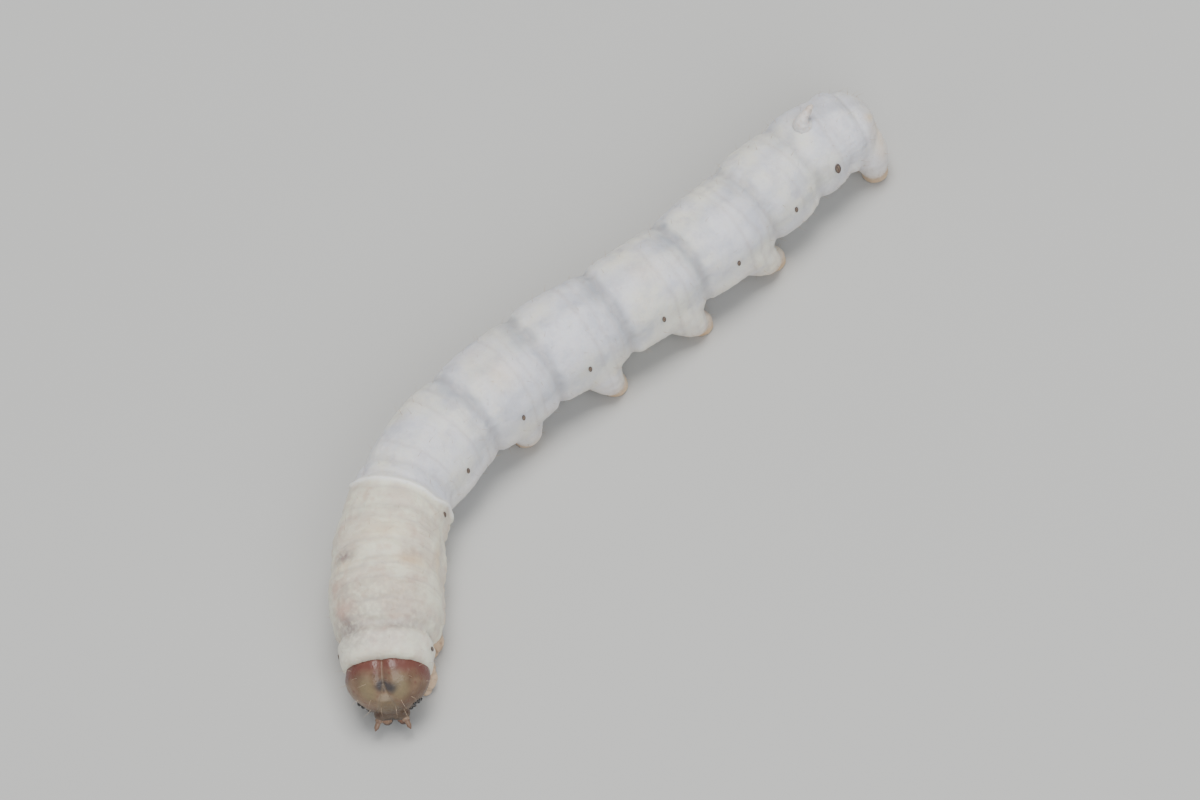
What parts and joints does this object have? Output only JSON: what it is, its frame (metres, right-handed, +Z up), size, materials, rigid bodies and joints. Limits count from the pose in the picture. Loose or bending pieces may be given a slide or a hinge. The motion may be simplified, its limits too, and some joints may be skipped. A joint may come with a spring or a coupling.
{
  "type": "silkworm",
  "caption": "Still, life-size silkworm larva resting on its legs in a gentle curve, with a brown head capsule, folded pale skin and a short tail horn.",
  "frame": {"origin": "on the floor at the bottom centre of the bounding box, under the middle of the curved body", "axes": "+Y from the head to the tail, +Z up from the floor, +X to the animal's left side"},
  "size_m": [0.0116, 0.0446, 0.007],
  "materials": {
    "head_capsule": "hard brown capsule with a soft gloss",
    "simple_eyes": "black and glossy",
    "feelers": "pale brown, satin",
    "jaws": "dark brown, glossy",
    "thorax_skin": "cream, finely wrinkled soft skin",
    "abdomen_skin": "cool white, finely wrinkled soft skin",
    "thorax_legs": "pale brown, satin",
    "proleg_skin": "cream soft skin with tan soles",
    "horn_skin": "pale tan soft skin"
  },
  "bodies": {
    "root": {"head": "head_capsule", "eye_left": "simple_eyes", "antenna_left": "feelers", "mandible_left": "jaws", "eye_right": "simple_eyes", "antenna_right": "feelers", "mandible_right": "jaws", "thorax_1": "thorax_skin", "thorax_2": "thorax_skin", "thorax_3": "thorax_skin", "abdomen_1": "abdomen_skin", "abdomen_2": "abdomen_skin", "abdomen_3": "abdomen_skin", "abdomen_4": "abdomen_skin", "abdomen_5": "abdomen_skin", "abdomen_6": "abdomen_skin", "abdomen_7": "abdomen_skin", "abdomen_8": "abdomen_skin", "abdomen_9": "abdomen_skin", "abdomen_10": "abdomen_skin", "leg_1_left": "thorax_legs", "leg_2_left": "thorax_legs", "leg_3_left": "thorax_legs", "proleg_3_left": "proleg_skin", "proleg_4_left": "proleg_skin", "proleg_5_left": "proleg_skin", "proleg_6_left": "proleg_skin", "anal_proleg_left": "proleg_skin", "leg_1_right": "thorax_legs", "leg_2_right": "thorax_legs", "leg_3_right": "thorax_legs", "proleg_3_right": "proleg_skin", "proleg_4_right": "proleg_skin", "proleg_5_right": "proleg_skin", "proleg_6_right": "proleg_skin", "anal_proleg_right": "proleg_skin", "horn": "horn_skin"}
  },
  "joints": []
}
